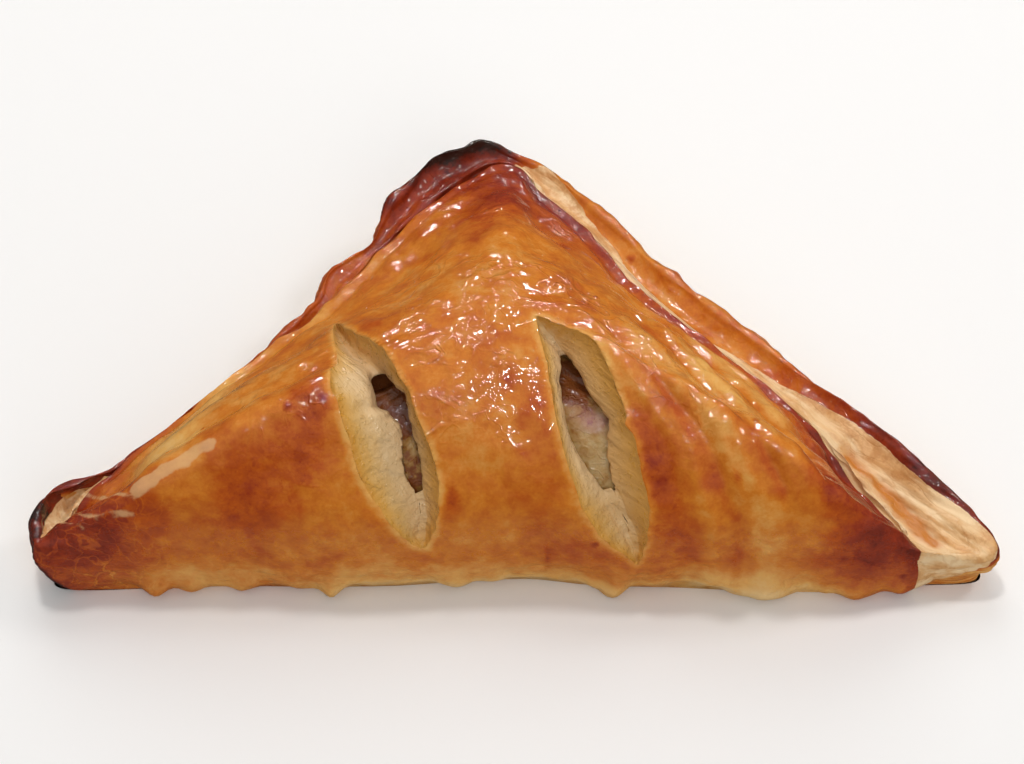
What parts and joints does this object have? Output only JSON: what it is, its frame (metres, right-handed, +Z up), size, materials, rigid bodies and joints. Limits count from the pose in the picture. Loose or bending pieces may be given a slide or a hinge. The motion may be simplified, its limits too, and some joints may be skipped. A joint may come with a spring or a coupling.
{
  "type": "apple turnover",
  "caption": "Triangular puff pastry turnover with a folded front, raised layered edges along two legs and leaning slits that show the apple filling.",
  "frame": {"origin": "middle of the footprint, on the flat base", "axes": "+X along the fold, +Y from the fold towards the apex, +Z up through the dome"},
  "size_m": [0.149, 0.0798, 0.0373],
  "materials": {
    "baked_crust": "egg-washed and glazed, golden to dark brown, with pale flaky layers where it is cut",
    "apple_filling": "glossy, translucent cooked apple"
  },
  "bodies": {
    "root": {"pastry": "baked_crust", "apple_filling": "apple_filling"}
  },
  "joints": []
}
